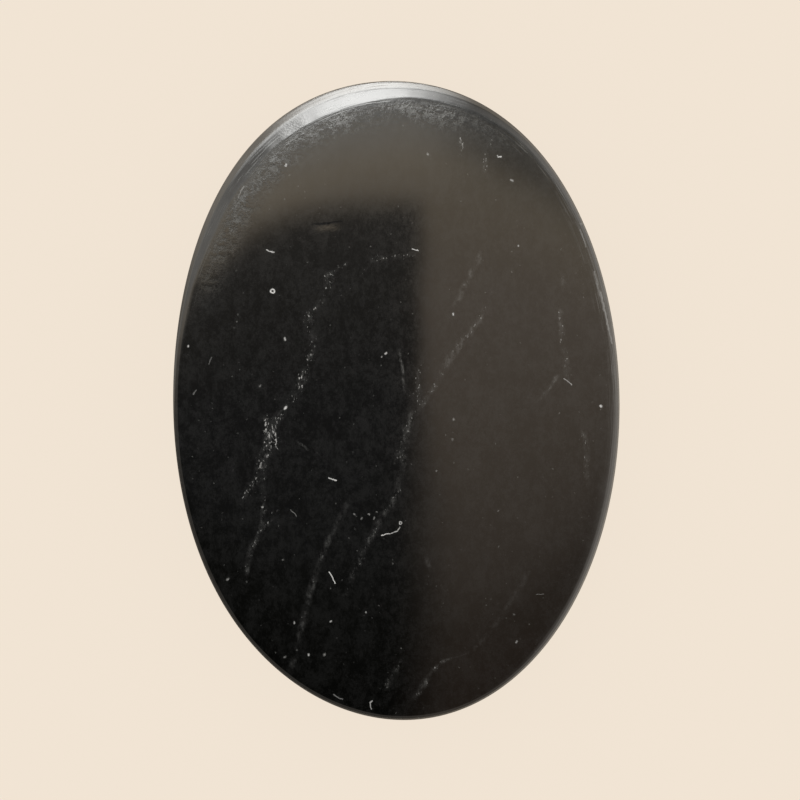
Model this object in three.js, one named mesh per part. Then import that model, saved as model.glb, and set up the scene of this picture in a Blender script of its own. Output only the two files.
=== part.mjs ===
// Polished oval shungite stone, one solid piece: a flat ground back, a straight edge,
// a rim with two bevels and a low domed face. Millimetres, +Z up, the back on Z = 0.
import * as THREE from "three";

// Outline, seen from above: an oval whose long axis runs along Y
const LENGTH = 50;
const WIDTH = 34.92;
const SQUARENESS = 0.0077;
const SQUARENESS_TURN = 159.4;
const HAND_GROUND = [
  { lobes: 3, depth: 0.0014, turn: 83.5 },
  { lobes: 5, depth: 0.0028, turn: -64.8 },
];

// Heights and edge
const THICKNESS = 8;
const DOME_RISE = 0.55;
const SHOULDER_RISE = 0.18;
const SHOULDER_POWER = 8;
const BACK_CHAMFER = 0.7;
const EDGE_BULGE = 0.05;
const EDGE_WIDEST = 3.4;

// Rim: a steep outer bevel and a flatter inner one, ground wider at the +Y end, a little towards -X
const RIM_NARROW = 0.33;
const RIM_SWELL = 1.2;
const RIM_BEARING = THREE.MathUtils.degToRad(110);
const OUTER_SHARE = 0.4;
const OUTER_SLOPE = Math.tan(THREE.MathUtils.degToRad(38));
const INNER_SLOPE = Math.tan(THREE.MathUtils.degToRad(17));

// Fineness of the facets
const AROUND = 112;
const FACE_RINGS = [0.965, 0.925, 0.88, 0.82, 0.74, 0.63, 0.48, 0.32, 0.16];

const SHOULDER_HEIGHT = THICKNESS - DOME_RISE - SHOULDER_RISE;

/** How far the ground outline strays from a true ellipse at angle t, as a factor. */
function strayFactor(t) {
  let factor = 1 + SQUARENESS * Math.cos(4 * t - THREE.MathUtils.degToRad(SQUARENESS_TURN));
  for (const wave of HAND_GROUND) {
    factor += wave.depth * Math.cos(wave.lobes * t - THREE.MathUtils.degToRad(wave.turn));
  }
  return factor;
}

/** The outline as points at even angles, fitted to the stated length and width about the origin. */
function outlinePoints() {
  const points = [];
  const box = new THREE.Box2();
  for (let i = 0; i < AROUND; i += 1) {
    const t = (2 * Math.PI * i) / AROUND;
    const stray = strayFactor(t);
    const point = new THREE.Vector2(WIDTH * Math.cos(t) * stray, LENGTH * Math.sin(t) * stray);
    points.push(point);
    box.expandByPoint(point);
  }
  const size = box.getSize(new THREE.Vector2());
  const centre = box.getCenter(new THREE.Vector2());
  const fit = new THREE.Vector2(WIDTH / size.x, LENGTH / size.y);
  return points.map((point) => point.sub(centre).multiply(fit));
}

/** The outline stepped inwards by a distance that may change around the stone. */
function insetPoint(outline, i, inset) {
  const before = outline[(i + AROUND - 1) % AROUND];
  const after = outline[(i + 1) % AROUND];
  const along = after.clone().sub(before).normalize();
  const inward = new THREE.Vector2(-along.y, along.x);
  return outline[i].clone().addScaledVector(inward, inset);
}

/** Width of the bevelled rim at a point of the outline. */
function rimWidth(point) {
  const around = Math.atan2(point.y / LENGTH, point.x / WIDTH);
  const towards = Math.max(Math.cos(around - RIM_BEARING), 0);
  return RIM_NARROW + RIM_SWELL * towards ** 3;
}

/** One closed ring of the surface: an inset and a height for every point of the outline. */
function ring(outline, insetAt, heightAt) {
  return outline.map((point, i) => {
    const flat = insetPoint(outline, i, insetAt(point));
    return new THREE.Vector3(flat.x, flat.y, heightAt(point));
  });
}

/** Height of the domed face at a share of the way from its middle to the shoulder line. */
function faceHeight(share) {
  const dome = DOME_RISE * (1 - share ** 2);
  const shoulder = SHOULDER_RISE * (1 - share ** SHOULDER_POWER);
  return SHOULDER_HEIGHT + dome + shoulder;
}

/** All the rings in order, from the flat back up the edge and over the face. */
function surfaceRings() {
  const outline = outlinePoints();
  const outerWidth = (point) => EDGE_BULGE + rimWidth(point) * OUTER_SHARE;
  const fullWidth = (point) => EDGE_BULGE + rimWidth(point);
  const innerDrop = (point) => rimWidth(point) * (1 - OUTER_SHARE) * INNER_SLOPE;
  const outerDrop = (point) => rimWidth(point) * OUTER_SHARE * OUTER_SLOPE;
  const rings = [
    ring(outline, () => EDGE_BULGE + BACK_CHAMFER, () => 0),
    ring(outline, () => EDGE_BULGE, () => BACK_CHAMFER),
    ring(outline, () => 0, () => EDGE_WIDEST),
    ring(outline, () => EDGE_BULGE, (point) => SHOULDER_HEIGHT - innerDrop(point) - outerDrop(point)),
    ring(outline, outerWidth, (point) => SHOULDER_HEIGHT - innerDrop(point)),
    ring(outline, fullWidth, () => SHOULDER_HEIGHT),
  ];
  const shoulderLine = rings[rings.length - 1];
  for (const share of FACE_RINGS) {
    const height = faceHeight(share);
    rings.push(shoulderLine.map((point) => new THREE.Vector3(point.x * share, point.y * share, height)));
  }
  return rings;
}

/** A closed skin over the rings, with a middle point closing the back and another the face. */
function skin(rings) {
  const positions = [];
  const faces = [];
  for (const points of rings) {
    for (const point of points) {
      positions.push(point.x, point.y, point.z);
    }
  }
  for (let level = 0; level + 1 < rings.length; level += 1) {
    for (let i = 0; i < AROUND; i += 1) {
      const next = (i + 1) % AROUND;
      const low = level * AROUND;
      const high = low + AROUND;
      faces.push(low + i, low + next, high + next);
      faces.push(low + i, high + next, high + i);
    }
  }
  const backMiddle = rings.length * AROUND;
  const faceMiddle = backMiddle + 1;
  const top = (rings.length - 1) * AROUND;
  positions.push(0, 0, 0);
  positions.push(0, 0, faceHeight(0));
  for (let i = 0; i < AROUND; i += 1) {
    const next = (i + 1) % AROUND;
    faces.push(backMiddle, next, i);
    faces.push(faceMiddle, top + i, top + next);
  }
  const geometry = new THREE.BufferGeometry();
  geometry.setAttribute("position", new THREE.Float32BufferAttribute(positions, 3));
  geometry.setIndex(faces);
  geometry.computeVertexNormals();
  return geometry;
}

const shungite = new THREE.MeshStandardMaterial({ color: 0x1b1a18, roughness: 0.18, metalness: 0 });
shungite.name = "polished_shungite";

const stone = new THREE.Mesh(skin(surfaceRings()), shungite);
stone.name = "stone";

const part = new THREE.Group();
part.name = "polished_oval_stone";
part.add(stone);

export default part;
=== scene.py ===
"""Polished oval shungite stone: its ground shape, its black polish and the light it is seen in."""

import logging
import math
from dataclasses import dataclass, field
from enum import Enum

import bmesh
import bpy
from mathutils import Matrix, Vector, noise


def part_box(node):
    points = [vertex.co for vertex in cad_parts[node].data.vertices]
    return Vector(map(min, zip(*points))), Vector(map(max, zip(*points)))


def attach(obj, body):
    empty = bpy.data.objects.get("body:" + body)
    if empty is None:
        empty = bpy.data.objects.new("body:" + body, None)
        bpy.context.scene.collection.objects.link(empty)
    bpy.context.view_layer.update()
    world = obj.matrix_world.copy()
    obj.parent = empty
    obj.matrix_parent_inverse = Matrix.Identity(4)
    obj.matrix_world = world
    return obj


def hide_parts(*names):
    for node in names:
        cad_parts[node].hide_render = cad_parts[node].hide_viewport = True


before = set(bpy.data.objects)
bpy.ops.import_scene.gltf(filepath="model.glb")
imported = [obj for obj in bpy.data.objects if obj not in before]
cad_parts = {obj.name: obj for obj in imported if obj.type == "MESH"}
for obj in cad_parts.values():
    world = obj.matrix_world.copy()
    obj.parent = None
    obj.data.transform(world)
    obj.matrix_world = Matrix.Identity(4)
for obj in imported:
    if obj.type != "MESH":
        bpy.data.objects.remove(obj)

LOG = logging.getLogger("stone")
MM = 0.001
HALF = (0.5, 0.5, 0.5)
BLACK = (0.0, 0.0, 0.0, 1.0)

# Places of the colour sockets on a Mix node
MIX_SHARE, MIX_UNDER, MIX_OVER, MIX_RESULT = 0, 6, 7, 2

Colour = tuple[float, float, float]
Socket = bpy.types.NodeSocket
Tree = bpy.types.NodeTree
Feed = Socket | float | tuple[float, ...]


class Run(Enum):
    """Which way a vein runs on the face."""

    LENGTHWISE = "along the long axis"
    CROSSWISE = "across it"


@dataclass(frozen=True)
class Vein:
    """A healed crack in the stone, seen as a pale band that breaks up into grains.

    Points are (x, y, strength) in millimetres on the face, in order along the run.
    Grit is the share of loose grains: 0 is a soft band only and 1 is grains only.
    """

    points: tuple[tuple[float, float, float], ...]
    width: float = 0.4
    grit: float = 0.5
    run: Run = Run.LENGTHWISE


@dataclass(frozen=True)
class Stroke:
    """A short mark on the face, such as a fibre or a scratch, ends in millimetres."""

    start: tuple[float, float]
    end: tuple[float, float]
    width: float = 0.07
    strength: float = 1.0
    hollow: float = 0.0


VEINS = (
    Vein(((-5.3, 9.7, 0.2), (-4.9, 9.95, 0.75), (-4.4, 10.3, 0.4), (-3.8, 10.7, 0.6), (-3.3, 10.8, 0.1),
          (-2.1, 10.7, 0.1), (-1.7, 10.8, 0.45), (-0.5, 11.15, 0.45), (0.6, 11.2, 0.35), (1.5, 11.3, 0.5)),
         0.34, 0.95, Run.CROSSWISE),
    Vein(((-2.6, 9.4, 0.0), (-2.3, 10.0, 0.35), (-1.8, 10.8, 0.35), (-1.7, 11.1, 0.0)), 0.34, 0.7),
    Vein(((-12.5, -8.4, 0.0), (-12.0, -7.2, 0.5), (-11.1, -5.9, 0.6), (-10.5, -4.4, 0.8), (-10.1, -3.3, 1.0),
          (-9.8, -2.1, 1.0), (-9.2, -1.0, 0.6), (-8.1, 0.4, 0.5), (-7.4, 1.6, 0.7), (-6.9, 2.9, 0.7),
          (-6.5, 4.5, 0.45), (-6.6, 5.9, 0.3), (-6.6, 6.8, 0.65), (-5.9, 7.4, 0.45), (-5.3, 8.6, 0.4),
          (-5.0, 9.8, 0.5)), 0.62, 0.72),
    Vein(((-10.4, -4.4, 0.0), (-10.25, -3.4, 0.9), (-10.2, -2.0, 0.9), (-10.15, -0.9, 0.6),
          (-10.1, -0.5, 0.0)), 0.3, 0.95),
    Vein(((-9.5, -4.0, 0.0), (-9.45, -3.3, 0.9), (-9.5, -2.4, 1.0), (-9.55, -1.6, 0.8), (-9.6, -1.1, 0.0)),
         0.32, 0.95),
    Vein(((-12.2, -14.2, 0.0), (-12.1, -13.6, 0.35), (-11.7, -11.8, 0.7), (-11.2, -10.6, 0.6),
          (-10.7, -9.5, 0.5), (-10.6, -7.4, 0.55), (-10.5, -5.4, 0.5), (-10.4, -4.3, 0.4)), 0.34, 0.45),
    Vein(((-0.7, -5.1, 0.0), (0.1, -4.1, 0.6), (0.6, -2.8, 0.6), (1.3, -1.1, 0.8), (2.0, -0.3, 0.6),
          (3.3, 1.5, 0.6), (4.4, 3.3, 0.85), (5.3, 4.5, 0.9), (6.2, 5.6, 0.7), (6.9, 6.6, 0.6),
          (7.6, 8.4, 0.0)), 0.5, 0.5),
    Vein(((-4.7, -15.6, 0.0), (-4.4, -15.1, 0.3), (-3.3, -12.7, 0.6), (-2.2, -10.4, 0.7), (-1.2, -8.9, 0.5),
          (-0.3, -7.6, 0.55), (0.2, -6.0, 0.4), (0.5, -3.9, 0.5), (0.9, -2.4, 0.0)), 0.46, 0.3),
    Vein(((1.3, -1.2, 0.0), (1.7, 0.2, 0.7), (1.8, 1.4, 0.7), (1.9, 2.6, 0.35), (2.2, 3.8, 0.0)), 0.32, 0.75),
    Vein(((-9.0, -21.4, 0.0), (-8.6, -20.3, 0.25), (-7.8, -17.4, 0.36), (-7.1, -14.7, 0.55),
          (-6.0, -11.8, 0.55), (-5.0, -9.7, 0.3), (-3.9, -7.7, 0.2), (-3.5, -6.9, 0.0)), 0.42, 0.22),
    Vein(((13.5, 0.7, 0.0), (13.3, 1.6, 0.9), (13.3, 2.4, 0.8), (13.05, 4.4, 0.6), (12.95, 5.5, 0.7),
          (12.9, 6.3, 1.0), (12.9, 7.0, 0.0)), 0.34, 0.5),
    Vein(((13.2, 8.4, 0.0), (13.2, 8.8, 0.7), (13.2, 9.2, 0.7), (13.25, 9.6, 0.0)), 0.34, 0.6),
    Vein(((15.0, -7.6, 0.0), (14.6, -6.3, 0.5), (14.8, -4.6, 0.6), (14.5, -2.9, 0.5), (14.5, -2.1, 0.0)),
         0.36, 0.45),
    Vein(((10.9, -0.6, 0.0), (11.4, 0.0, 0.7), (12.4, 1.3, 0.7), (12.8, 2.0, 0.0)), 0.3, 0.1),
    Vein(((0.6, -23.6, 0.0), (1.1, -22.9, 0.4), (1.8, -21.8, 0.7), (2.4, -20.9, 0.9), (3.4, -20.2, 0.4),
          (5.2, -19.8, 0.28), (6.5, -18.6, 0.2), (8.2, -16.3, 0.19), (9.5, -14.3, 0.19), (11.4, -11.2, 0.0)),
         0.4, 0.35),
    Vein(((-1.5, -22.8, 0.0), (-1.2, -22.0, 0.5), (-0.7, -21.3, 0.5), (-0.3, -20.5, 0.4), (0.1, -19.6, 0.0)),
         0.42, 0.35),
    Vein(((3.8, -15.6, 0.0), (2.5, -13.6, 0.3), (2.0, -12.4, 0.3), (1.6, -11.6, 0.0)), 0.3, 0.15),
    Vein(((0.7, 0.1, 0.0), (0.6, 1.0, 0.7), (0.5, 2.6, 0.8), (0.4, 3.8, 0.5), (0.4, 4.3, 0.0)), 0.18, 0.1),
    Vein(((-11.0, -10.4, 0.0), (-10.7, -9.9, 0.5), (-10.2, -9.3, 0.6), (-9.75, -8.9, 0.5), (-9.4, -8.6, 0.0)),
         0.34, 0.5),
    Vein(((4.4, 6.6, 0.0), (4.9, 7.6, 0.6), (5.8, 9.2, 0.65), (7.0, 11.5, 0.5), (7.3, 12.3, 0.0)), 0.4, 0.15),
    Vein(((-7.9, -3.1, 0.0), (-7.6, -3.2, 0.7), (-7.1, -3.55, 0.6), (-6.9, -3.7, 0.0)), 0.2, 0.4,
         Run.CROSSWISE),
    Vein(((5.6, 18.5, 0.0), (5.6, 18.9, 0.6), (5.5, 20.1, 0.7), (5.5, 20.5, 0.0)), 0.42, 0.9),
    Vein(((7.6, 17.0, 0.0), (7.4, 18.1, 0.5), (7.6, 19.3, 0.5), (8.1, 20.4, 0.4), (8.2, 20.8, 0.0)),
         0.3, 0.7),
)

PIT = Stroke((-6.4, 13.85), (-3.6, 14.05), 0.07)

LINT = tuple(Stroke(*row) for row in (
    ((-5.6, -13.2), (-5.4, -13.5), 0.065),
    ((-5.4, -13.5), (-5.1, -14.1), 0.06),
    ((-5.4, -5.9), (-4.8, -6.1), 0.075, 0.85),
    ((-1.4, -10.45), (-0.8, -10.35), 0.065, 0.9),
    ((-0.8, -10.35), (-0.2, -10.2), 0.055, 0.6),
    ((-0.2, -10.2), (0.0, -9.85), 0.055, 0.5),
    ((0.1, -9.55), (0.1, -9.53), 0.08, 0.6, 0.1),
    ((-8.45, -8.3), (-8.0, -8.8), 0.055, 0.24),
    ((-9.75, 11.95), (-9.2, 11.75), 0.075, 0.75),
    ((1.55, 11.7), (2.0, 11.6), 0.065, 0.8),
    ((-5.5, -22.8), (-4.8, -23.2), 0.07, 0.25),
    ((-2.5, -23.35), (-2.68, -23.45), 0.075, 0.6),
    ((-2.68, -23.45), (-2.6, -24.0), 0.07, 0.5),
    ((10.5, -15.4), (11.1, -15.4), 0.05, 0.18),
    ((13.1, 1.35), (13.7, 0.85), 0.07, 0.45),
    ((8.36, 18.86), (8.45, 18.72), 0.08, 0.6),
    ((8.45, 18.72), (8.68, 18.76), 0.1, 0.85),
    ((-11.4, 17.0), (-11.7, 16.6), 0.08, 0.3),
    ((-11.7, 16.6), (-11.9, 16.1), 0.08, 0.2),
    ((14.7, 12.9), (15.1, 11.6), 0.08, 0.16),
    ((15.7, 9.6), (16.4, 6.5), 0.12, 0.2),
    ((16.15, 8.0), (16.7, 5.1), 0.12, 0.26),
    ((16.5, 6.3), (16.9, 4.0), 0.1, 0.22),
    ((-9.42, 8.74), (-9.42, 8.76), 0.1, 0.95, 0.15),
    ((-8.1, 18.6), (-8.15, 18.5), 0.12, 0.7),
    ((9.4, 16.9), (9.5, 16.85), 0.13, 0.4),
    ((9.8, 11.8), (9.8, 11.75), 0.09, 0.5),
    ((15.9, -0.85), (15.95, -0.9), 0.14, 0.9),
    ((-8.55, 5.05), (-8.5, 4.9), 0.13, 0.6),
    ((-8.6, -0.3), (-8.65, -0.4), 0.13, 0.85),
    ((-16.1, 4.65), (-16.1, 4.6), 0.11, 0.7),
    ((-15.8, 0.9), (-15.55, 1.2), 0.075, 0.2),
    ((-14.3, 3.7), (-14.5, 3.2), 0.075, 0.16),
    ((-1.1, 3.42), (-1.05, 3.46), 0.08, 0.45),
    ((-0.74, 3.6), (-0.64, 3.7), 0.09, 0.7),
    ((4.6, 6.6), (4.6, 6.5), 0.11, 0.7),
    ((-5.6, -17.1), (-5.5, -17.05), 0.1, 0.6),
    ((-8.4, -17.1), (-8.4, -17.15), 0.1, 0.5),
    ((-7.4, -19.6), (-7.35, -19.7), 0.11, 0.6),
    ((-2.8, -16.4), (-2.8, -16.45), 0.09, 0.4),
    ((8.8, -19.1), (8.9, -19.0), 0.1, 0.3),
    ((-3.5, -8.75), (-3.45, -8.8), 0.1, 0.3),
    ((-2.95, -9.15), (-2.9, -9.1), 0.11, 0.24),
    ((-2.4, -8.8), (-2.3, -8.85), 0.1, 0.36),
    ((-2.0, -9.2), (-1.95, -9.1), 0.1, 0.26),
    ((-1.75, -8.65), (-1.7, -8.65), 0.09, 0.22),
))


class Wiring:
    """Places nodes in one node tree and joins them."""

    def __init__(self, tree: Tree) -> None:
        """Start on an emptied node tree."""
        self.tree = tree
        tree.nodes.clear()

    def feed(self, socket: Socket, value: Feed) -> None:
        """Join a socket to another, or set its number."""
        if isinstance(value, Socket):
            self.tree.links.new(value, socket)
        else:
            socket.default_value = value

    def place(self, kind: str, feeds: dict[str, Feed] | None = None, **options: object) -> bpy.types.Node:
        """Add one node.

        Args:
            kind: the node's type name without its ShaderNode prefix.
            feeds: what goes into its inputs, by input name.
            options: settings of the node itself.

        Returns:
            The node.
        """
        node = self.tree.nodes.new("ShaderNode" + kind)
        for name, value in options.items():
            setattr(node, name, value)
        for name, value in (feeds or {}).items():
            self.feed(node.inputs[name], value)
        return node

    def sum(self, operation: str, *values: Feed) -> Socket:
        """Work out a number with a Math node and return its output."""
        node = self.place("Math", operation=operation)
        for socket, value in zip(node.inputs, values):
            self.feed(socket, value)
        return node.outputs[0]

    def limit(self, value: Feed) -> Socket:
        """Keep a number between 0 and 1."""
        return self.sum("MINIMUM", self.sum("MAXIMUM", value, 0.0), 1.0)

    def times(self, *values: Feed) -> Socket:
        """Multiply several numbers."""
        total = values[0]
        for value in values[1:]:
            total = self.sum("MULTIPLY", total, value)
        return total

    def vector(self, operation: str, *values: Feed, scale: Feed | None = None,
               output: str = "Vector") -> Socket:
        """Work out a vector with a Vector Math node.

        Args:
            operation: what the node does.
            values: the vectors that go into it.
            scale: the factor of a SCALE.
            output: which output is wanted.

        Returns:
            The node's output.
        """
        node = self.place("VectorMath", operation=operation)
        for socket, value in zip(node.inputs, values):
            self.feed(socket, value)
        if scale is not None:
            self.feed(node.inputs["Scale"], scale)
        return node.outputs[output]

    def measure(self, operation: str, one: Feed, other: Feed) -> Socket:
        """Work out a number from two vectors, such as their distance."""
        return self.vector(operation, one, other, output="Value")

    def split(self, vector: Feed) -> tuple[Socket, ...]:
        """Take a vector apart into X, Y and Z."""
        return tuple(self.place("SeparateXYZ", {"Vector": vector}).outputs)

    def ease(self, value: Feed, low: Feed, high: Feed, start: Feed = 0.0, end: Feed = 1.0) -> Socket:
        """Ease from start to end while a value goes from low to high."""
        node = self.place("MapRange", {"Value": value}, interpolation_type="SMOOTHSTEP", clamp=False)
        for name, number in (("From Min", low), ("From Max", high), ("To Min", start), ("To Max", end)):
            self.feed(node.inputs[name], number)
        return node.outputs["Result"]

    def blend(self, share: Feed, under: Feed, over: Feed) -> Socket:
        """Lay one colour over another by a share."""
        node = self.place("Mix", data_type="RGBA")
        self.feed(node.inputs[MIX_SHARE], share)
        self.feed(node.inputs[MIX_UNDER], under)
        self.feed(node.inputs[MIX_OVER], over)
        return node.outputs[MIX_RESULT]

    def noise(self, point: Feed, scale: float, detail: float = 2.0, roughness: float = 0.5,
              output: str = "Fac") -> Socket:
        """Place a soft noise, with its scale in waves per millimetre."""
        feeds = {"Vector": point, "Scale": scale, "Detail": detail, "Roughness": roughness}
        return self.place("TexNoise", feeds).outputs[output]

    def wander(self, point: Feed, scale: float, detail: float = 2.0) -> Socket:
        """Place a soft noise of shifts that even out to nothing."""
        return self.vector("SUBTRACT", self.noise(point, scale, detail, output="Color"), HALF)

    def group(self, tree: Tree, feeds: dict[str, Feed]) -> bpy.types.Node:
        """Place a node group."""
        return self.place("Group", feeds, node_tree=tree)


class Effects:
    """Shader node groups that the finish places again and again."""

    def __init__(self) -> None:
        """Build each group once."""
        self.vein = self._vein()
        self.stroke = self._stroke()
        self.specks = self._specks()
        self.streaks = self._streaks()

    @staticmethod
    def _open(name: str, inputs: dict[str, str],
              outputs: tuple[str, ...]) -> tuple[Wiring, dict[str, Socket], bpy.types.Node]:
        """Start a group.

        Args:
            name: the group's name.
            inputs: input names and whether each is a Float or a Vector.
            outputs: the names of its outputs, all numbers.

        Returns:
            The wiring, the inputs by name and the output node.
        """
        tree = bpy.data.node_groups.new(name, "ShaderNodeTree")
        for label, kind in inputs.items():
            tree.interface.new_socket(label, in_out="INPUT", socket_type="NodeSocket" + kind)
        for label in outputs:
            tree.interface.new_socket(label, in_out="OUTPUT", socket_type="NodeSocketFloat")
        wiring = Wiring(tree)
        start = tree.nodes.new("NodeGroupInput")
        end = tree.nodes.new("NodeGroupOutput")
        return wiring, {label: start.outputs[label] for label in inputs}, end

    def _vein(self) -> Tree:
        """A zone of grains and a soft pale band, by the distance across the run."""
        wiring, given, end = self._open(
            "Vein", {"Across": "Float", "Path": "Float", "Strength": "Float", "Width": "Float",
                     "Grit": "Float"}, ("Zone", "Band"))
        off = wiring.sum("ABSOLUTE", wiring.sum("SUBTRACT", given["Across"], given["Path"]))
        zone = wiring.ease(off, 0.0, given["Width"], 1.0, 0.0)
        plain = wiring.sum("SUBTRACT", 1.0, given["Grit"])
        laid = wiring.times(zone, given["Strength"])
        wiring.feed(end.inputs["Zone"], wiring.times(laid, given["Grit"]))
        wiring.feed(end.inputs["Band"], wiring.times(laid, plain))
        return wiring.tree

    def _stroke(self) -> Tree:
        """A short straight mark between two points, with round ends, or a ring where it is hollow."""
        wiring, given, end = self._open(
            "Stroke", {"Point": "Vector", "Start": "Vector", "Span": "Vector", "Width": "Float",
                       "Strength": "Float", "Hollow": "Float"}, ("Mask",))
        reach = wiring.vector("SUBTRACT", given["Point"], given["Start"])
        along = wiring.sum("DIVIDE", wiring.measure("DOT_PRODUCT", reach, given["Span"]),
                           wiring.measure("DOT_PRODUCT", given["Span"], given["Span"]))
        foot = wiring.vector("SCALE", given["Span"], scale=wiring.limit(along))
        off = wiring.measure("DISTANCE", reach, foot)
        off = wiring.sum("ABSOLUTE", wiring.sum("SUBTRACT", off, given["Hollow"]))
        line = wiring.ease(off, 0.0, given["Width"], 1.0, 0.0)
        wiring.feed(end.inputs["Mask"], wiring.times(line, given["Strength"]))
        return wiring.tree

    def _specks(self) -> Tree:
        """Scattered grains of uneven size and brightness."""
        wiring, given, end = self._open(
            "Specks", {"Point": "Vector", "Spacing": "Float", "Radius": "Float", "Rarity": "Float"},
            ("Mask",))
        cells = wiring.place("TexVoronoi", {"Vector": given["Point"],
                                            "Scale": wiring.sum("DIVIDE", 1.0, given["Spacing"])})
        off = wiring.times(cells.outputs["Distance"], given["Spacing"])
        chance = wiring.place("SeparateColor", {"Color": cells.outputs["Color"]})
        radius = wiring.times(given["Radius"], wiring.sum("MULTIPLY_ADD", chance.outputs[1], 0.8, 0.5))
        grain = wiring.ease(off, 0.0, radius, 1.0, 0.0)
        bright = wiring.times(grain, wiring.sum("POWER", chance.outputs[0], given["Rarity"]))
        wiring.feed(end.inputs["Mask"], bright)
        return wiring.tree

    def _streaks(self) -> Tree:
        """Grinding streaks that follow the rim."""
        wiring, given, end = self._open(
            "Streaks", {"Rim": "Vector", "Fineness": "Float", "Reach": "Float", "Share": "Float"}, ("Mask",))
        drawn = wiring.place("CombineXYZ", {"X": given["Reach"], "Y": given["Reach"], "Z": given["Fineness"]})
        drawn = wiring.vector("MULTIPLY", given["Rim"], drawn.outputs[0])
        lines = wiring.noise(drawn, 1.0, 3.0)
        low = wiring.sum("SUBTRACT", 0.74, given["Share"])
        wiring.feed(end.inputs["Mask"], wiring.ease(lines, low, wiring.sum("ADD", low, 0.16)))
        return wiring.tree


@dataclass(frozen=True)
class Layer:
    """One kind of mark on the polish, or a painted reflection: its colour and how much it dulls the shine."""

    colour: Colour
    dulling: float


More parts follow.
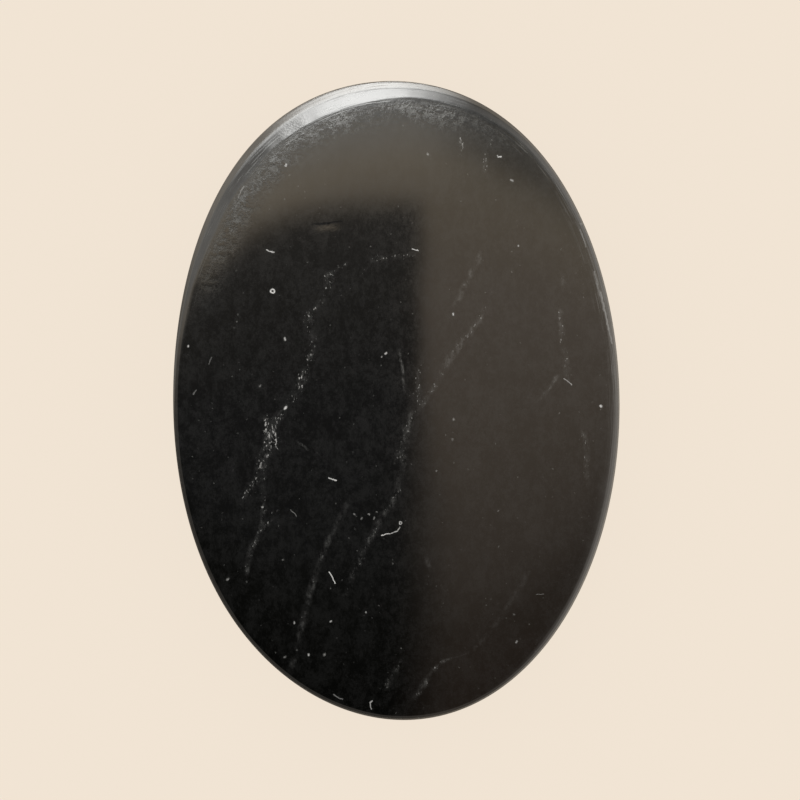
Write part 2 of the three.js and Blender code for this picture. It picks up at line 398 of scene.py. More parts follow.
@dataclass(frozen=True)
class PolishedShungite:
    """Black polished shungite with pale veins, specks, lint and a scuffed rim, with a painted reflection on
    the outer bevel and painted shade that fades the mottle towards the -Y end. Millimetres.
    """

    body: Colour = (0.0003, 0.0003, 0.0003)
    mottle: Colour = (0.009, 0.0089, 0.0086)
    ground: Layer = Layer((0.018, 0.018, 0.017), 0.22)
    # Painted reflection: a warm pale colour on the outer bevel that stands in for the room it mirrors.
    bevel: Layer = Layer((0.090, 0.078, 0.062), 0.05)
    scuff: Layer = Layer((0.19, 0.195, 0.185), 0.4)
    vein: Layer = Layer((0.50, 0.49, 0.46), 0.3)
    speck: Layer = Layer((0.46, 0.45, 0.42), 0.3)
    lint: Layer = Layer((0.62, 0.61, 0.58), 0.5)
    index: float = 1.75
    polish: float = 0.06
    soft_share: float = 0.21
    grain_share: float = 0.75
    haze_share: float = 0.44
    streak_share: float = 0.3
    relief: float = 0.06
    relief_strength: float = 0.6
    pit_depth: float = 0.12
    scuff_depth: float = 0.25
    face_foot: tuple[float, float] = (6.3, 6.6)
    chipped_place: tuple[float, float, float] = (-7.6, 21.7, 6.9)
    field_width: float = 52.0
    worn_bearing: float = math.radians(106.0)
    # Bearing of the scratched side of the rim, and of the side where the painted bevel reflection is fullest.
    scratched_and_lit_bearing: float = math.radians(30.0)

    def material(self, effects: Effects, half_width: float, half_length: float) -> bpy.types.Material:
        """Wire the finish.

        Args:
            effects: the shared node groups.
            half_width: half the width of the stone in millimetres.
            half_length: half its length.

        Returns:
            The material.
        """
        material = bpy.data.materials.new("Polished shungite")
        material.use_nodes = True
        wiring = Wiring(material.node_tree)
        point = wiring.vector("SCALE", wiring.place("TexCoord").outputs["Object"], scale=1.0 / MM)
        _, lengthwise, height_up = wiring.split(point)
        rim = wiring.place("Attribute", attribute_name="rim").outputs["Vector"]
        facing, beside = (
            wiring.measure("DOT_PRODUCT", rim, (math.cos(way) / half_width, math.sin(way) / half_length, 0.0))
            for way in (self.worn_bearing, self.scratched_and_lit_bearing))

        veins = self._veins(wiring, effects, point)
        lint = self._lint(wiring, effects, point)
        specks = self._specks(wiring, effects, point)
        scuff = self._scuff(wiring, effects, point, rim, facing, beside)
        back = wiring.ease(height_up, 0.05, 0.6, 1.0, 0.0)
        # Painted reflection on the outer bevel: full on most of the rim, and down to 36 % on the side away
        # from the lit bearing, where painted shade falls.
        bevel = wiring.place("Attribute", attribute_name="bevel").outputs["Fac"]
        bevel = wiring.times(bevel, wiring.ease(beside, -1.0, -0.3, 0.36, 1.0))

        clouds = wiring.noise(wiring.vector("MULTIPLY", point, (1.0, 0.75, 1.0)), 0.7, 4.0, 1.0)
        # Painted shade: the pale mottle fades to 55 % towards the -Y end, so the lower face reads darker
        # there.
        cloudy_with_painted_shade = wiring.times(wiring.ease(clouds, 0.38, 0.66), wiring.ease(lengthwise, -20.0, 2.0, 0.55, 1.0))
        colour = wiring.blend(cloudy_with_painted_shade, (*self.body, 1.0), (*self.mottle, 1.0))
        dull = wiring.ease(clouds, 0.3, 0.75, self.polish - 0.01, self.polish + 0.02)
        for share, layer in ((back, self.ground), (bevel, self.bevel), (scuff, self.scuff),
                             (veins, self.vein), (specks, self.speck), (lint, self.lint)):
            colour = wiring.blend(share, colour, (*layer.colour, 1.0))
            dull = wiring.sum("MULTIPLY_ADD", share, layer.dulling, dull)
        dull = wiring.limit(dull)

        grit = self._grit(wiring, point, rim, facing, beside)
        height = wiring.sum("MULTIPLY_ADD", self._pit(wiring, point), self.pit_depth, grit)
        height = wiring.sum("MULTIPLY_ADD", scuff, -self.scuff_depth, height)
        bump = wiring.place("Bump", {"Strength": self.relief_strength, "Distance": self.relief * MM,
                                     "Height": height})

        shader = wiring.place("BsdfPrincipled", {"Base Color": colour, "Roughness": dull, "IOR": self.index,
                                                 "Normal": bump.outputs["Normal"]})
        output = wiring.place("OutputMaterial")
        wiring.feed(output.inputs["Surface"], shader.outputs["BSDF"])
        return material

    def _veins(self, wiring: Wiring, effects: Effects, point: Feed) -> Socket:
        """Lay all the veins and break them into grains."""
        swayed = wiring.vector("MULTIPLY_ADD", wiring.wander(point, 0.9, 3.0), HALF, point)
        shared = wiring.vector("MULTIPLY_ADD", swayed, (1.0 / self.field_width,) * 3, HALF)
        east, north, _ = wiring.split(shared)
        zones: Feed = 0.0
        bands: Feed = 0.0
        for vein in VEINS:
            lengthwise = vein.run is Run.LENGTHWISE
            along, across = (north, east) if lengthwise else (east, north)
            stations = sorted((y, x, s) if lengthwise else (x, y, s) for x, y, s in vein.points)
            path = self._curve(wiring, along, [(a, self._share(b)) for a, b, _ in stations])
            first, last = stations[0][0], stations[-1][0]
            faded = [(first - 0.9, 0.0), (first - 0.5, 0.0), *((a, s) for a, _, s in stations),
                     (last + 0.5, 0.0), (last + 0.9, 0.0)]
            laid = wiring.group(effects.vein, {"Across": across, "Path": path,
                                               "Strength": self._curve(wiring, along, faded),
                                               "Width": vein.width / self.field_width, "Grit": vein.grit})
            zones = wiring.sum("MAXIMUM", zones, laid.outputs["Zone"])
            bands = wiring.sum("MAXIMUM", bands, laid.outputs["Band"])
        drawn = wiring.vector("MULTIPLY", point, (1.15, 0.6, 1.0))
        grain = wiring.noise(drawn, 6.5, 1.0)
        fine = wiring.noise(drawn, 2.4, 3.0, 0.75)
        patchy = wiring.ease(wiring.noise(point, 1.1, 2.0), 0.36, 0.6, 0.2, 1.0)
        broken = wiring.ease(wiring.sum("MULTIPLY_ADD", zones, 0.22, grain), 0.68, 0.86)
        broken = wiring.times(broken, wiring.ease(zones, 0.03, 0.2), patchy)
        soft = wiring.sum("MULTIPLY_ADD", zones, 0.35, bands)
        soft = wiring.times(soft, wiring.ease(fine, 0.36, 0.7), patchy)
        broken = wiring.times(broken, self.grain_share)
        return wiring.limit(wiring.sum("MULTIPLY_ADD", soft, self.soft_share, broken))

    def _share(self, distance: float) -> float:
        """A place on the face as a share of the field the curves cover."""
        return distance / self.field_width + 0.5

    def _curve(self, wiring: Wiring, along: Feed, stations: list[tuple[float, float]]) -> Socket:
        """Draw a curve through stations given in millimetres along the run.

        Args:
            wiring: the material's wiring.
            along: the place along the run, as a share of the field.
            stations: where the curve passes and its value there.

        Returns:
            The curve's value at that place.
        """
        node = wiring.place("FloatCurve", {"Value": along})
        curve = node.mapping.curves[0]
        places = [(self._share(distance), value) for distance, value in stations]
        curve.points[0].location = places[0]
        curve.points[1].location = places[-1]
        for place in places[1:-1]:
            curve.points.new(*place)
        node.mapping.extend = "HORIZONTAL"
        node.mapping.update()
        return node.outputs[0]

    def _lint(self, wiring: Wiring, effects: Effects, point: Feed) -> Socket:
        """Lay the fibres, scratches and single grains, on the face only."""
        east, north, height_up = wiring.split(point)
        flat = wiring.place("CombineXYZ", {"X": east, "Y": north}).outputs[0]
        flat = wiring.vector("MULTIPLY_ADD", wiring.wander(point, 2.6), (0.22, 0.22, 0.0), flat)
        total: Feed = 0.0
        for stroke in LINT:
            span = (stroke.end[0] - stroke.start[0], stroke.end[1] - stroke.start[1], 0.0)
            laid = wiring.group(effects.stroke, {"Point": flat, "Start": (*stroke.start, 0.0), "Span": span,
                                                 "Width": stroke.width, "Strength": stroke.strength,
                                                 "Hollow": stroke.hollow})
            total = wiring.sum("MAXIMUM", total, laid.outputs["Mask"])
        return wiring.times(total, wiring.ease(height_up, 5.5, 6.3))

    def _grit(self, wiring: Wiring, point: Feed, rim: Feed, facing: Feed, beside: Feed) -> Socket:
        """Dent the worn shoulder finely, and rib the bevels there along their run.

        Args:
            wiring: the material's wiring.
            point: the place on the stone in millimetres.
            rim: the nearest point of the outline, and the way inwards from the shoulder line.
            facing: how far that point lies towards the worn end, from -1 to 1.
            beside: how far it lies towards the scratched side.

        Returns:
            The height of the grit.
        """
        over = wiring.ease(wiring.split(point)[2], *self.face_foot)
        inside = wiring.split(rim)[2]
        shoulder = wiring.times(wiring.ease(inside, 0.15, 0.7), wiring.ease(inside, 0.9, 3.0, 1.0, 0.0))
        dents = wiring.noise(point, 2.0, 4.0, 0.7)
        dents = wiring.times(dents, shoulder, wiring.ease(facing, 0.8, 0.97, 0.0, 0.36))
        chipped = wiring.measure("DISTANCE", point, self.chipped_place)
        chips = wiring.times(wiring.noise(point, 6.0), wiring.ease(chipped, 0.5, 2.2, 0.22, 0.0))
        drawn = wiring.vector("MULTIPLY", rim, (0.22, 0.22, 5.5))
        ribbed = wiring.sum("ADD", wiring.ease(facing, 0.8, 0.98, 0.0, 0.25),
                            wiring.ease(beside, 0.6, 0.95, 0.0, 0.3))
        ribs = wiring.times(wiring.noise(drawn, 1.0, 3.0, 0.6), ribbed)
        ribs = wiring.times(ribs, wiring.ease(inside, -0.1, 1.0, 1.0, 0.0), over)
        return wiring.sum("ADD", wiring.sum("ADD", dents, chips), ribs)

    @staticmethod
    def _pit(wiring: Wiring, point: Feed) -> Socket:
        """Sink one shallow pit into the face, with a sharp upper edge and a slow rise below it."""
        span = Vector(PIT.end) - Vector(PIT.start)
        middle = (Vector(PIT.end) + Vector(PIT.start)) / 2
        along = span.normalized()
        reach = wiring.vector("SUBTRACT", point, (middle.x, middle.y, 0.0))
        on = wiring.sum("ABSOLUTE", wiring.measure("DOT_PRODUCT", reach, (along.x, along.y, 0.0)))
        off = wiring.measure("DOT_PRODUCT", reach, (-along.y, along.x, 0.0))
        off = wiring.sum("MULTIPLY_ADD", wiring.noise(point, 2.2), 0.3, off)
        off = wiring.sum("SUBTRACT", off, 0.15)
        edge = wiring.ease(off, -PIT.width, PIT.width, -1.0, 0.0)
        rise = wiring.ease(off, -0.8, -PIT.width)
        return wiring.times(edge, rise, wiring.ease(on, 0.3, span.length / 2, 1.0, 0.0))

    def _specks(self, wiring: Wiring, effects: Effects, point: Feed) -> Socket:
        """Scatter bright grains and fine dust."""
        shaken = wiring.vector("MULTIPLY_ADD", wiring.wander(point, 3.0), (0.3, 0.3, 0.3), point)
        grains, dust = (
            wiring.group(effects.specks, {"Point": shaken, "Spacing": apart, "Radius": radius,
                                          "Rarity": rarity})
            for apart, radius, rarity in ((1.5, 0.14, 5.0), (0.55, 0.08, 3.0)))
        dust = wiring.times(dust.outputs["Mask"], 0.22)
        return wiring.limit(wiring.sum("MULTIPLY_ADD", grains.outputs["Mask"], 0.6, dust))

    def _scuff(self, wiring: Wiring, effects: Effects, point: Feed, rim: Feed, facing: Feed,
               beside: Feed) -> Socket:
        """Wear the shoulder at the +Y end to a mottled haze and streak the rim along its run.

        Args:
            wiring: the material's wiring.
            effects: the shared node groups.
            point: the place on the stone in millimetres.
            rim: the nearest point of the outline, and the way inwards from the shoulder line.
            facing: how far that point lies towards the worn end, from -1 to 1.
            beside: how far it lies towards the scratched side.

        Returns:
            How scuffed the surface is.
        """
        inside = wiring.split(rim)[2]
        end = wiring.ease(facing, 0.5, 0.93)
        band = wiring.times(wiring.ease(inside, 0.05, 0.8, 0.25, 1.0),
                            wiring.ease(inside, 0.6, 3.2, 1.0, 0.0), wiring.ease(inside, -0.1, 0.1))
        mottle = wiring.noise(point, 2.6, 4.0, 0.85)
        patches = wiring.ease(wiring.noise(point, 0.6, 3.0), 0.34, 0.64, 0.4, 1.0)
        haze = wiring.times(band, end, patches, wiring.ease(mottle, 0.4, 0.64))
        streaks = wiring.group(effects.streaks, {"Rim": rim, "Fineness": 8.5, "Reach": 0.3, "Share": 0.2})
        over = wiring.ease(wiring.split(point)[2], *self.face_foot)
        near = wiring.times(over, wiring.ease(inside, 0.0, 1.2, 1.0, 0.0))
        side = wiring.sum("ADD", wiring.ease(facing, 0.45, 0.85), wiring.ease(beside, 0.8, 0.98))
        drawn = wiring.times(streaks.outputs["Mask"], near, side, patches)
        total = wiring.sum("MULTIPLY", haze, self.haze_share)
        return wiring.limit(wiring.sum("MULTIPLY_ADD", drawn, self.streak_share, total))


@dataclass(frozen=True)
class Outline:
    """The oval the stone is ground to, seen from above, in metres about the origin."""

    half_width: float
    half_length: float
    squareness: float = 0.0077
    squareness_turn: float = math.radians(159.4)
    hand_ground: tuple[tuple[int, float, float], ...] = (
        (3, 0.0014, math.radians(83.5)),
        (5, 0.0028, math.radians(-64.8)),
    )
    fit_steps: int = 720

    def _stray(self, angle: float) -> float:
        """How far the outline strays from a true ellipse, as a factor."""
        factor = 1.0 + self.squareness * math.cos(4 * angle - self.squareness_turn)
        for lobes, depth, turn in self.hand_ground:
            factor += depth * math.cos(lobes * angle - turn)
        return factor

    def raw(self, angle: float) -> Vector:
        """A point of the outline before it is fitted to its box."""
        stray = self._stray(angle)
        return Vector((math.cos(angle) * stray, math.sin(angle) * stray))

    def fit(self) -> tuple[Vector, Vector]:
        """The centre and the half size of the outline before it is fitted."""
        points = [self.raw(math.tau * step / self.fit_steps) for step in range(self.fit_steps)]
        low = Vector((min(p.x for p in points), min(p.y for p in points)))
        high = Vector((max(p.x for p in points), max(p.y for p in points)))
        return (low + high) / 2, (high - low) / 2


@dataclass
class Stone:
    """The stone: flat back, straight edge, two-bevel rim and low domed face. Millimetres."""

    thickness: float
    outline: Outline
    dome_rise: float = 0.55
    shoulder_rise: float = 0.18
    shoulder_power: float = 8.0
    back_chamfer: float = 0.7
    edge_bulge: float = 0.05
    edge_widest: float = 3.4
    rim_narrow: float = 0.33
    rim_swell: float = 1.2
    rim_bearing: float = math.radians(110.0)
    outer_share: float = 0.4
    outer_slope: float = math.tan(math.radians(38.0))
    inner_slope: float = math.tan(math.radians(17.0))
    ragged: float = 0.13
    back_rounding: float = 0.12
    edge_rounding: float = 0.04
    outer_rounding: float = 0.13
    inner_rounding: float = 0.1
    polish_wave: float = 0.0035
    blank_radius: float = 20.0
    around: int = 600
    face_rings: int = 84
    back_rings: int = 8
    edge_rings: int = 4
    bevel_rings: int = 2
    rounding_steps: int = 3
    weld: float = 1e-5
    ring_slack: float = 1e-3
    turn_step: float = 1e-3
    fitted: tuple[Vector, Vector] = field(init=False)

    def __post_init__(self) -> None:
        """Work out how the outline is fitted to its box."""
        self.fitted = self.outline.fit()

    @property
    def shoulder_height(self) -> float:
        """Height of the line where the face meets the rim."""
        return self.thickness - self.dome_rise - self.shoulder_rise

    @property
    def inner_drop(self) -> float:
        """Drop of the inner bevel on the blank, whose rim is one millimetre wide."""
        return (1.0 - self.outer_share) * self.inner_slope

    @property
    def rim_drop(self) -> float:
        """Drop of both bevels on the blank."""
        return self.inner_drop + self.outer_share * self.outer_slope

    def build(self) -> bpy.types.Object:
        """Turn a round blank, round its edges over and grind it to the oval.

        Returns:
            The stone as an object at the origin.
        """
        mesh = bpy.data.meshes.new("Stone")
        bm = bmesh.new()
        self._turn_blank(bm)
        self._round_edges(bm)
        bmesh.ops.remove_doubles(bm, verts=bm.verts, dist=self.weld)
        bmesh.ops.recalc_face_normals(bm, faces=bm.faces)
        rim = bm.verts.layers.float_vector.new("rim")
        bevel = bm.verts.layers.float.new("bevel")
        for vert in bm.verts:
            vert[bevel] = self._bevelled(vert.co)
            place, mark = self._ground(vert.co)
            vert.co = place * MM
            vert[rim] = mark
        for face in bm.faces:
            face.smooth = True
        bm.to_mesh(mesh)
        bm.free()
        stone = bpy.data.objects.new("Stone", mesh)
        bpy.context.scene.collection.objects.link(stone)
        return stone

    def _corners(self) -> list[tuple[float, float]]:
        """The blank's profile, as (radius, height), from the middle of the back to that of the face."""
        edge = self.blank_radius - self.edge_bulge
        top = self.shoulder_height
        return [
            (0.0, 0.0),
            (edge - self.back_chamfer, 0.0),
            (edge, self.back_chamfer),
            (self.blank_radius, self.edge_widest),
            (edge, top - self.rim_drop),
            (edge - self.outer_share, top - self.inner_drop),
            (edge - 1.0, top),
            (0.0, top),
        ]

    def _turn_blank(self, bm: bmesh.types.BMesh) -> None:
        """Spin the profile into a round blank."""
        verts = [bm.verts.new((radius, 0.0, height)) for radius, height in self._corners()]
        edges = [bm.edges.new(pair) for pair in zip(verts, verts[1:])]
        bmesh.ops.subdivide_edges(bm, edges=[edges[-1]], cuts=self.face_rings)
        bmesh.ops.subdivide_edges(bm, edges=[edges[0]], cuts=self.back_rings)
        bmesh.ops.subdivide_edges(bm, edges=[edges[2], edges[3]], cuts=self.edge_rings)
        bmesh.ops.subdivide_edges(bm, edges=[edges[4], edges[5]], cuts=self.bevel_rings)
        bmesh.ops.spin(bm, geom=bm.verts[:] + bm.edges[:], cent=(0, 0, 0), axis=(0, 0, 1), dvec=(0, 0, 0),
                       angle=math.tau, steps=self.around, use_merge=True)

    def _round_edges(self, bm: bmesh.types.BMesh) -> None:
        """Break the ground edges of the blank, each with its own rounding."""
        rings = self._corners()
        broken = ((rings[1], self.back_rounding), (rings[2], self.back_rounding),
                  (rings[4], self.edge_rounding), (rings[5], self.outer_rounding),
                  (rings[6], self.inner_rounding))
        for ring, rounding in broken:
            edges = []
            for edge in bm.edges:
                ends = [(math.hypot(v.co.x, v.co.y), v.co.z) for v in edge.verts]
                if all(math.dist(end, ring) < self.ring_slack for end in ends):
                    edges.append(edge)
            bmesh.ops.bevel(bm, geom=edges, offset=rounding, offset_type="OFFSET", affect="EDGES",
                            segments=self.rounding_steps, profile=0.5, material=-1, clamp_overlap=True)

    def _edge(self, angle: float) -> tuple[Vector, Vector]:
        """A point of the outline and the way inwards from it, in millimetres."""
        centre, half = self.fitted
        scale = Vector((self.outline.half_width / MM / half.x, self.outline.half_length / MM / half.y))
        place = (self.outline.raw(angle) - centre) * scale
        step = (self.outline.raw(angle + self.turn_step) - self.outline.raw(angle - self.turn_step)) * scale
        step.normalize()
        return place, Vector((-step.y, step.x))

    @staticmethod
    def _waver(place: Vector, length: float, layer: float) -> float:
        """A smooth chance from -1 to 1 that changes over a length."""
        return noise.noise(Vector((place.x, place.y, layer)) / length)

    def _rim(self, place: Vector) -> tuple[float, float]:
        """Width of the rim at a point of the outline, and how far its ragged inner line strays."""
        around = math.atan2(place.y / self.outline.half_length, place.x / self.outline.half_width)
        towards = max(math.cos(around - self.rim_bearing), 0.0)
        width = self.rim_narrow + self.rim_swell * towards ** 3
        slow = self._waver(place, length=4.0, layer=3.0)
        quick = self._waver(place, length=1.1, layer=5.0)
        return width, self.ragged * width * (slow + 0.2 * quick)

    def _bevelled(self, blank: Vector) -> float:
        """How far a point of the blank lies on the outer bevel, from 0 to 1."""
        beyond = self.blank_radius - math.hypot(blank.x, blank.y) - self.edge_bulge
        if blank.z <= self.edge_widest or beyond <= 0.0:
            return 0.0
        return min(max((self.outer_share - beyond) / self.outer_rounding + 0.5, 0.0), 1.0)

    def _face_height(self, share: float) -> float:
        """Height of the face at a share of the way from its middle to the shoulder line."""
        dome = self.dome_rise * (1.0 - share ** 2)
        return self.shoulder_height + dome + self.shoulder_rise * (1.0 - share ** self.shoulder_power)

    def _ground(self, blank: Vector) -> tuple[Vector, Vector]:
        """Move a point of the round blank to the oval stone.

        Args:
            blank: the point on the blank.

        Returns:
            The point on the stone, and a mark that holds the nearest point of the outline and the way inwards
            from the shoulder line.
        """
        radius = math.hypot(blank.x, blank.y)
        edge, inward = self._edge(math.atan2(blank.y, blank.x))
        inset = self.blank_radius - radius
        if blank.z <= self.edge_widest:
            return self._ground_back(blank, edge, inward, inset)
        width, stray = self._rim(edge)
        top = self.shoulder_height
        beyond = inset - self.edge_bulge
        if beyond <= 0.0:
            flat = edge + inward * inset
            wall = (top - self.rim_drop * width - self.edge_widest) / (top - self.rim_drop - self.edge_widest)
            height = self.edge_widest + (blank.z - self.edge_widest) * wall
        elif beyond <= 1.0:
            ragged = max(beyond - self.outer_share, 0.0) / (1.0 - self.outer_share) * stray
            flat = edge + inward * (self.edge_bulge + beyond * width + ragged)
            height = top - (top - blank.z) * width
        else:
            share = radius / (self.blank_radius - self.edge_bulge - 1.0)
            flat = (edge + inward * (self.edge_bulge + width + stray * share ** 12)) * share
            ripple = self._waver(flat, length=5.0, layer=0.0) + self._waver(flat, length=11.0, layer=9.0)
            height = blank.z - top + self._face_height(share) + self.polish_wave * ripple * (1.0 - share ** 6)
        inside = (edge - flat).length - self.edge_bulge - width - max(top - height, 0.0)
        return Vector((flat.x, flat.y, height)), Vector((edge.x, edge.y, inside))

    def _ground_back(self, blank: Vector, edge: Vector, inward: Vector,
                     inset: float) -> tuple[Vector, Vector]:
        """Move a point of the blank's lower half, whose border is even all round.

        Args:
            blank: the point on the blank.
            edge: the nearest point of the outline.
            inward: the way inwards from it.
            inset: how far in the point lies on the blank.

        Returns:
            The point on the stone and its mark.
        """
        border = self.edge_bulge + self.back_chamfer
        if inset <= border:
            flat = edge + inward * inset
        else:
            flat = (edge + inward * border) * ((self.blank_radius - inset) / (self.blank_radius - border))
        return Vector((flat.x, flat.y, blank.z)), Vector((edge.x, edge.y, -self.thickness - inset))

    def dress(self, stone: bpy.types.Object, finish: PolishedShungite, effects: Effects) -> None:
        """Give the stone its finish and its place in the frame."""
        material = finish.material(effects, self.outline.half_width / MM, self.outline.half_length / MM)
        stone.data.materials.append(material)
        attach(stone, "root")
        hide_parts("stone")


@dataclass(frozen=True)
class Window:
    """A bright soft pane round the stone, mirrored in its rim. Degrees, bearings clockwise from +Y."""

    bearing: float
    half_width: float
    foot: float
    head: float
    strength: float
    side_softness: float = 16.0
    softness: float = 3.0
    tint: Colour = (1.0, 1.0, 0.98)


@dataclass
class Room:
    """The light round the stone: an even glow, and a room with windows for the polish to mirror.

    Places overhead are slopes from the vertical, the first towards +X and the second towards +Y.
    """

    glow: Colour = (1.0, 1.0, 1.0)
    backdrop: Colour = (0.879, 0.776, 0.658)
    overhead: tuple[tuple[float, Colour], ...] = (
        (-0.6, (0.16, 0.12, 0.09)),
        (-0.25, (0.175, 0.13, 0.10)),
        (-0.15, (0.23, 0.18, 0.14)),
        (-0.09, (0.40, 0.325, 0.26)),
        (-0.02, (0.58, 0.475, 0.375)),
        (0.05, (0.765, 0.635, 0.51)),
        (0.11, (0.95, 0.79, 0.60)),
        (0.16, (1.32, 1.13, 0.87)),
        (0.21, (1.40, 1.28, 1.10)),
        (0.27, (1.22, 1.20, 1.14)),
        (0.6, (1.3, 1.3, 1.26)),
        (1.2, (0.22, 0.215, 0.2)),
    )
    dim_east: float = 0.14
    dim_north: tuple[float, float] = (0.1, 0.2)
    dim_share: float = 0.62
    sides_start: float = 0.22
    sides_end: float = 0.6
    sides_share: float = 0.55
    shade: tuple[tuple[float, Colour], ...] = (
        (-0.25, (0.02, 0.02, 0.016)),
        (-0.13, (0.035, 0.035, 0.03)),
        (-0.07, (0.065, 0.065, 0.062)),
        (0.0, (0.088, 0.086, 0.083)),
        (0.05, (0.13, 0.122, 0.11)),
        (0.12, (0.22, 0.205, 0.185)),
    )
    shade_side: float = 0.0207
    shade_slant: float = 0.01
    shade_top: float = 0.121
    shade_tilt: float = 0.03
    shade_softness: float = 0.009
    shade_spread: float = 0.11
    shade_fade: float = 0.15
    shade_foot: float = 0.04
    shade_far: float = 0.4
    level: float = 0.02
    windows: tuple[Window, ...] = (
        Window(-10.5, 19.0, 40.0, 68.0, 9.3, 16.0, 5.0),
        Window(-7.0, 19.0, 4.0, 37.0, 9.4, 16.0, 4.0),
        Window(-34.0, 13.0, 26.0, 44.0, 4.2, 9.0, 5.0),
        Window(92.0, 50.0, 5.0, 34.0, 1.35, 28.0, 4.0, (1.0, 0.93, 0.84)),
        Window(85.0, 48.0, 34.0, 69.0, 1.25, 25.0, 5.0, (1.0, 0.94, 0.86)),
        Window(-45.0, 24.0, 4.0, 34.0, 0.55, 20.0, 4.0),
        Window(-62.0, 12.0, 34.0, 66.0, 0.38, 14.0, 3.0, (1.0, 0.96, 0.9)),
        Window(0.0, 400.0, -12.0, 45.0, 0.14, 5.0, 20.0, (1.0, 0.93, 0.84)),
        Window(0.0, 400.0, 40.0, 61.0, 0.27, 5.0, 5.0, (1.0, 0.89, 0.77)),
    )

    def build(self) -> None:
        """Make the room the scene's world."""
        world = bpy.data.worlds.new("Room")
        bpy.context.scene.world = world
        world.use_nodes = True
        wiring = Wiring(world.node_tree)
        way = wiring.place("TexCoord").outputs["Generated"]
        path = wiring.place("LightPath")
        colours = ((*self.glow, 1.0), self._mirrored(wiring, way), (*self.backdrop, 1.0))
        glow, mirrored, backdrop = (
            wiring.place("Background", {"Color": colour}).outputs["Background"] for colour in colours)
        light = self._choose(wiring, path.outputs["Is Glossy Ray"], glow, mirrored)
        light = self._choose(wiring, path.outputs["Is Camera Ray"], light, backdrop)
        output = wiring.place("OutputWorld")
        wiring.feed(output.inputs["Surface"], light)

    @staticmethod
    def _choose(wiring: Wiring, share: Feed, under: Feed, over: Feed) -> Socket:
        """Put one light in place of another for some rays."""
        node = wiring.place("MixShader")
        for socket, value in zip(node.inputs, (share, under, over)):
            wiring.feed(socket, value)
        return node.outputs["Shader"]

    def _mirrored(self, wiring: Wiring, way: Feed) -> Socket:
        """Colour of the room in a mirrored direction."""
        to_east, to_north, up = wiring.split(way)
        rise = wiring.sum("MAXIMUM", up, self.level)
        east = wiring.sum("DIVIDE", to_east, rise)
        north = wiring.sum("DIVIDE", to_north, rise)
        colour = self._ramp(wiring, north, self.overhead)
        dimmed = wiring.times(wiring.ease(east, 0.0, self.dim_east),
                              wiring.ease(north, *self.dim_north, 0.0, self.dim_share))
        colour = wiring.blend(dimmed, colour, BLACK)
        aside = wiring.sum("ABSOLUTE", east)
        sides = wiring.ease(aside, self.sides_start, self.sides_end, 0.0, self.sides_share)
        colour = wiring.blend(sides, colour, BLACK)
        shaded = self._shaded(wiring, east, north)
        colour = wiring.blend(shaded, colour, self._ramp(wiring, north, self.shade))
        bearing = wiring.sum("ARCTAN2", to_east, to_north)
        elevation = wiring.sum("ARCSINE", up)
        for window in self.windows:
            pane = self._pane(wiring, window, bearing, elevation)
            lit = wiring.vector("SCALE", window.tint, scale=pane)
            colour = wiring.vector("ADD", colour, lit)
        return colour

    def _shaded(self, wiring: Wiring, east: Feed, north: Feed) -> Socket:
        """How far a direction lies in the dark part of the room."""
        across = wiring.sum("MULTIPLY_ADD", north, self.shade_slant, east)
        south = wiring.sum("MAXIMUM", wiring.sum("SUBTRACT", self.shade_foot, north), 0.0)
        soft = wiring.sum("MULTIPLY_ADD", south, self.shade_fade, self.shade_softness)
        beside = wiring.ease(across, wiring.sum("SUBTRACT", self.shade_side, soft),
                             wiring.sum("ADD", self.shade_side, soft), 1.0, 0.0)
        west = wiring.sum("MAXIMUM", wiring.sum("MULTIPLY", east, -1.0), 0.0)
        west = wiring.sum("MINIMUM", west, self.shade_far)
        soft = wiring.sum("MULTIPLY_ADD", west, self.shade_spread, self.shade_softness)
        top = wiring.sum("MULTIPLY_ADD", west, self.shade_tilt, self.shade_top)
        below = wiring.ease(north, wiring.sum("SUBTRACT", top, soft), wiring.sum("ADD", top, soft), 1.0, 0.0)
        return wiring.times(beside, below)

    @staticmethod
    def _pane(wiring: Wiring, window: Window, bearing: Feed, elevation: Feed) -> Socket:
        """Light of one window in a direction."""
        off = wiring.sum("ABSOLUTE", wiring.sum("SUBTRACT", bearing, math.radians(window.bearing)))
        inside = wiring.ease(off, math.radians(window.half_width - window.side_softness),
                             math.radians(window.half_width + window.side_softness), window.strength, 0.0)
        over = wiring.ease(elevation, math.radians(window.foot - window.softness),
                           math.radians(window.foot + window.softness))
        under = wiring.ease(elevation, math.radians(window.head - window.softness),
                            math.radians(window.head + window.softness), 1.0, 0.0)
        return wiring.times(inside, over, under)

    @staticmethod
    def _ramp(wiring: Wiring, place: Feed, stops: tuple[tuple[float, Colour], ...]) -> Socket:
        """Change colour with a place, through the given stops."""
        low, high = stops[0][0], stops[-1][0]
        share = wiring.place("MapRange", {"Value": place, "From Min": low, "From Max": high})
        ramp = wiring.place("ValToRGB", {"Fac": share.outputs["Result"]})
        elements = ramp.color_ramp.elements
        for index, (at, colour) in enumerate(stops):
            if index == 0:
                element = elements[0]
            elif index == len(stops) - 1:
                element = elements[-1]
            else:
                element = elements.new((at - low) / (high - low))
            element.color = (*colour, 1.0)
        return ramp.outputs["Color"]


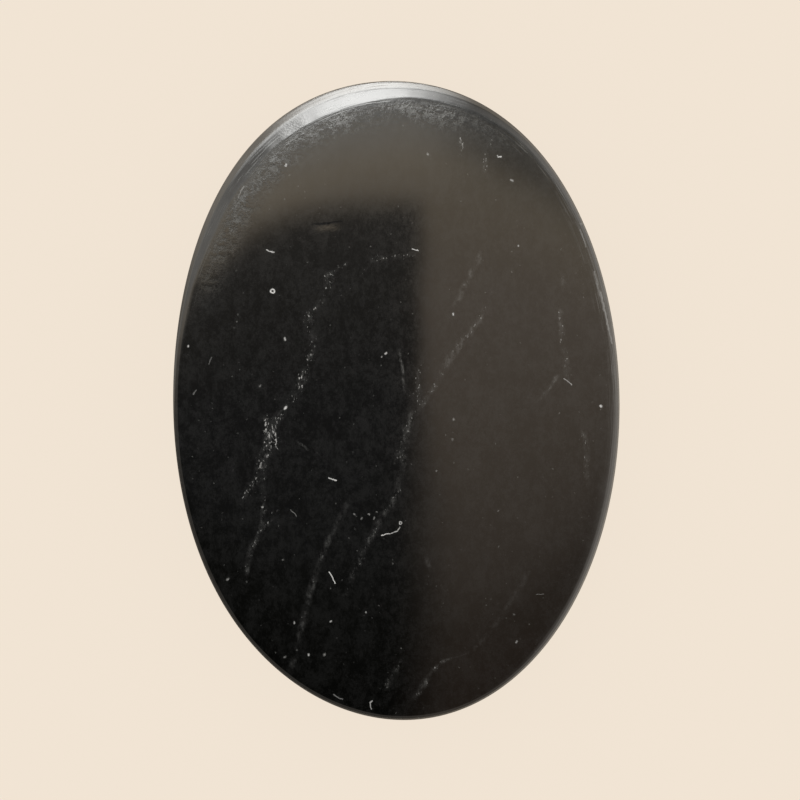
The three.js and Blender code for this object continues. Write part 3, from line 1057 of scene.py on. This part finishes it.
@dataclass
class Studio:
    """The pale floor, the room and the camera over the stone. Metres."""

    floor_size: float = 6.0
    floor_colour: Colour = (0.05, 0.0443, 0.0376)
    floor_glow: Colour = (0.83, 0.733, 0.621)
    camera_height: float = 0.30
    frame_width: float = 0.0639
    camera_offset: tuple[float, float] = (0.00029, 0.000015)
    camera_roll: float = math.radians(-1.52)
    sensor_width: float = 36.0
    nearest: float = 0.01
    farthest: float = 10.0

    def build(self) -> None:
        """Lay the floor, light the room and set the camera."""
        bpy.context.scene.view_settings.view_transform = "Standard"
        self._floor()
        Room().build()
        self._camera()

    def _floor(self) -> None:
        """Lay a plain pale floor under the stone."""
        mesh = bpy.data.meshes.new("Floor")
        bm = bmesh.new()
        bmesh.ops.create_grid(bm, x_segments=1, y_segments=1, size=self.floor_size / 2)
        bm.to_mesh(mesh)
        bm.free()
        floor = bpy.data.objects.new("Floor", mesh)
        bpy.context.scene.collection.objects.link(floor)
        material = bpy.data.materials.new("Pale floor")
        material.use_nodes = True
        wiring = Wiring(material.node_tree)
        shader = wiring.place("BsdfPrincipled", {"Base Color": (*self.floor_colour, 1.0), "Roughness": 0.9,
                                                 "Specular IOR Level": 0.0, "Emission Strength": 1.0,
                                                 "Emission Color": (*self.floor_glow, 1.0)})
        output = wiring.place("OutputMaterial")
        wiring.feed(output.inputs["Surface"], shader.outputs["BSDF"])
        mesh.materials.append(material)

    def _camera(self) -> None:
        """Look straight down on the stone."""
        data = bpy.data.cameras.new("Camera")
        data.sensor_width = self.sensor_width
        data.lens = self.sensor_width * self.camera_height / self.frame_width
        data.clip_start = self.nearest
        data.clip_end = self.farthest
        camera = bpy.data.objects.new("Camera", data)
        camera.location = (*self.camera_offset, self.camera_height)
        camera.rotation_euler = (0.0, 0.0, self.camera_roll)
        bpy.context.scene.collection.objects.link(camera)
        bpy.context.scene.camera = camera


def main() -> None:
    """Build the stone to the part's box and the studio, and log what was built."""
    logging.basicConfig(level=logging.INFO, format="%(message)s")
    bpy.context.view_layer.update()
    low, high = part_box("stone")
    size = high - low
    stone = Stone(size.z / MM, Outline(size.x / 2, size.y / 2))
    piece = stone.build()
    stone.dress(piece, PolishedShungite(), Effects())
    LOG.info("stone: %d faces", len(piece.data.polygons))
    Studio().build()
    LOG.info("studio: floor, room and camera")


if __name__ == "__main__":
    main()
